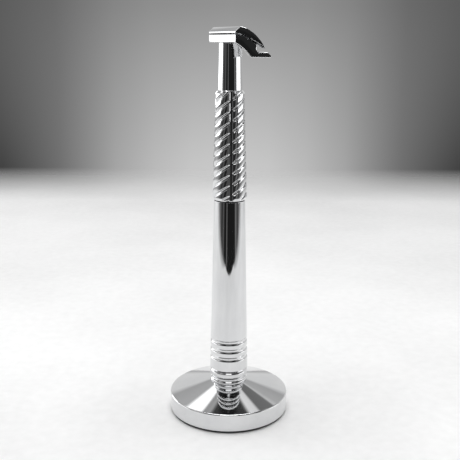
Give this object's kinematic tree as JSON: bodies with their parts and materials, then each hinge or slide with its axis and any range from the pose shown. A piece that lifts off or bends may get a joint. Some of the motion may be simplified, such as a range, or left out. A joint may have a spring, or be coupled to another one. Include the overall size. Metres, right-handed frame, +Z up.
{
  "type": "safety razor",
  "caption": "Single-edge safety razor with a clamped half blade and a fluted grip, standing on a round weighted stand.",
  "frame": {"origin": "centre of the stand's underside, on the surface it stands on", "axes": "+Z up along the handle, +X the way the blade and guard face, Y along the blade's length"},
  "size_m": [0.0416, 0.043, 0.1322],
  "materials": {
    "polished_chrome": "mirror-polished chrome plate",
    "turned_steel": "turned steel",
    "blade_steel": "ground blade steel",
    "brass": "machined brass",
    "nylon": "moulded nylon",
    "black_rubber": "matte black rubber"
  },
  "bodies": {
    "stand": {"foot_pad": "black_rubber", "stand_shell": "polished_chrome", "stand_collar": "polished_chrome", "stand_weight": "turned_steel", "stand_post": "turned_steel", "post_washer": "turned_steel", "post_screw": "turned_steel"},
    "post_ring": {"post_ring": "black_rubber"},
    "handle": {"handle_end_cap": "polished_chrome", "end_cap_bush": "nylon", "handle_body": "polished_chrome", "sleeve_washer": "black_rubber", "grip_sleeve": "polished_chrome", "neck": "polished_chrome", "neck_insert": "brass"},
    "base_plate": {"base_plate": "polished_chrome", "blade": "blade_steel"},
    "cap": {"cap": "polished_chrome", "cap_stud": "turned_steel", "cap_pin_left": "turned_steel", "cap_pin_right": "turned_steel"}
  },
  "joints": [
    {"name": "razor_spin", "type": "hinge", "parent": "stand", "child": "post_ring", "pos_m": [0, 0, 0.0215], "axis": [0, 0, 1], "continuous": true},
    {"name": "razor_lift", "type": "slide", "parent": "post_ring", "child": "handle", "axis": [0, 0, 1], "range_m": [0, 0.012]},
    {"name": "head_turn", "type": "hinge", "parent": "handle", "child": "base_plate", "pos_m": [0, 0, 0.1276], "axis": [0, 0, 1], "range_deg": [0, 2160]},
    {"name": "cap_lift", "type": "slide", "parent": "base_plate", "child": "cap", "axis": [0, 0, 1], "range_m": [0, 0.0048]}
  ],
  "couplings": [
    {"joint": "cap_lift", "follows": "head_turn", "m_per_rad": 0.0001273}
  ]
}
